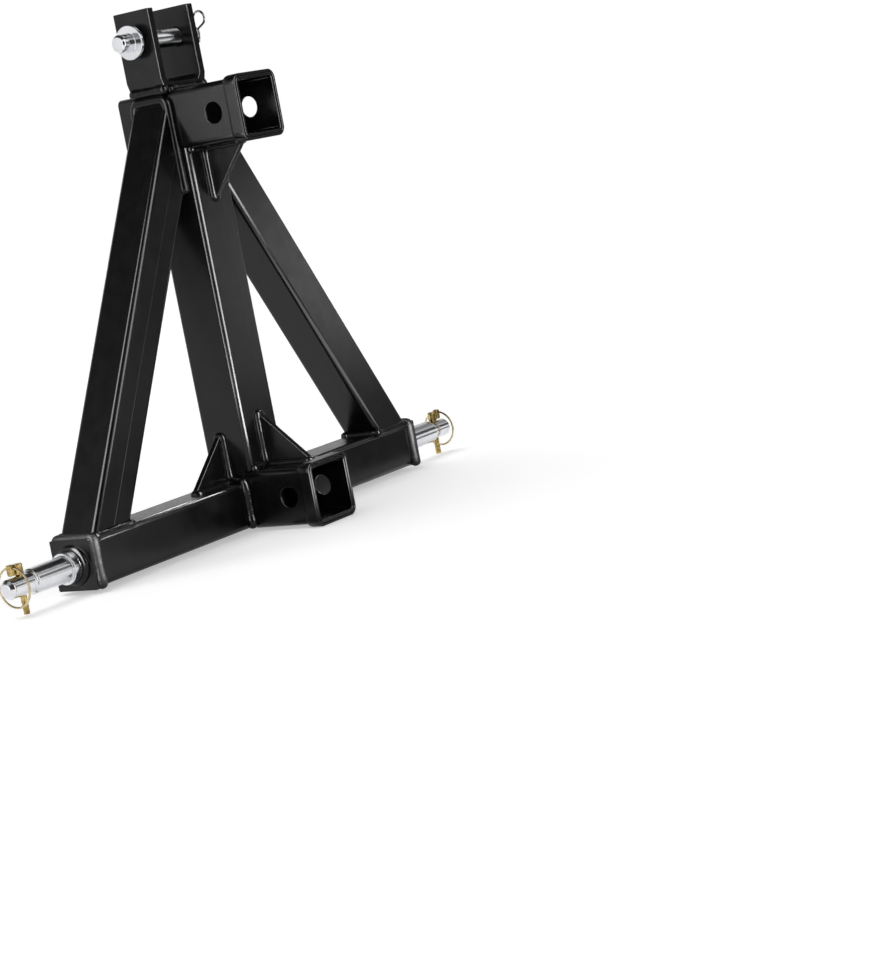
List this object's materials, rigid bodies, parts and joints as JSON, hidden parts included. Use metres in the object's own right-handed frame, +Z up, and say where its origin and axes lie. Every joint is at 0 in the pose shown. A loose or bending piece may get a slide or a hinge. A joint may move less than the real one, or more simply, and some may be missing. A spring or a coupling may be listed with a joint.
{
  "type": "three-point receiver hitch",
  "caption": "Welded A-frame hitch of square tube with stepped lower link pins, a top link clevis and upper and lower square receivers.",
  "frame": {"origin": "the middle of the crossbar's underside", "axes": "+X along the crossbar towards the clip end of the top link pin, -Y out of the receiver mouths, +Z up"},
  "size_m": [0.716, 0.15, 0.517],
  "materials": {
    "black_powder_coat": "glossy black powder coat",
    "weld_bead": "glossy black powder coat over smooth weld beads",
    "bright_steel": "bright zinc plate",
    "spring_steel": "bright drawn spring wire",
    "yellow_zinc": "yellow zinc plate"
  },
  "bodies": {
    "frame": {"crossbar_tube": "black_powder_coat", "end_plate_left": "black_powder_coat", "end_plate_right": "black_powder_coat", "lower_link_pin_left": "bright_steel", "lower_link_pin_right": "bright_steel", "mast_post": "black_powder_coat", "leg_left": "black_powder_coat", "leg_right": "black_powder_coat", "lower_receiver_tube": "black_powder_coat", "lower_receiver_collar": "black_powder_coat", "upper_receiver_tube": "black_powder_coat", "upper_receiver_collar": "black_powder_coat", "lower_gusset": "black_powder_coat", "upper_gusset": "black_powder_coat", "side_gusset_left": "black_powder_coat", "side_gusset_right": "black_powder_coat", "top_link_clevis": "black_powder_coat", "end_plate_welds": "weld_bead", "link_pin_welds": "weld_bead", "post_welds": "weld_bead", "leg_foot_welds": "weld_bead", "leg_top_welds": "weld_bead", "receiver_welds": "weld_bead", "gusset_welds": "weld_bead", "clevis_welds": "weld_bead"},
    "linch_left": {"linch_pin_left": "yellow_zinc"},
    "linch_right": {"linch_pin_right": "yellow_zinc"},
    "ring_left": {"linch_ring_left": "yellow_zinc"},
    "ring_right": {"linch_ring_right": "yellow_zinc"},
    "top_pin": {"top_link_pin": "bright_steel"},
    "clip": {"hairpin_clip": "spring_steel"}
  },
  "joints": [
    {"name": "linch_lift_left", "type": "slide", "parent": "frame", "child": "linch_left", "axis": [0, 0, 1], "range_m": [0, 0.045]},
    {"name": "linch_lift_right", "type": "slide", "parent": "frame", "child": "linch_right", "axis": [0, 0, 1], "range_m": [0, 0.045]},
    {"name": "ring_flip_left", "type": "hinge", "parent": "linch_left", "child": "ring_left", "pos_m": [-0.3425, 0, 0.0415], "axis": [0, 1, 0], "range_deg": [0, 180]},
    {"name": "ring_flip_right", "type": "hinge", "parent": "linch_right", "child": "ring_right", "pos_m": [0.3425, 0, 0.0415], "axis": [0, -1, 0], "range_deg": [0, 180]},
    {"name": "top_pin_slide", "type": "slide", "parent": "frame", "child": "top_pin", "axis": [1, 0, 0], "range_m": [-0.0149, 0.0072]},
    {"name": "clip_pull", "type": "slide", "parent": "top_pin", "child": "clip", "axis": [0, -0.4067, 0.9135], "range_m": [0, 0.03]}
  ],
  "couplings": [
    {"joint": "ring_flip_left", "follows": "linch_lift_left", "rad_per_m": 69.7},
    {"joint": "ring_flip_right", "follows": "linch_lift_right", "rad_per_m": 69.7}
  ]
}
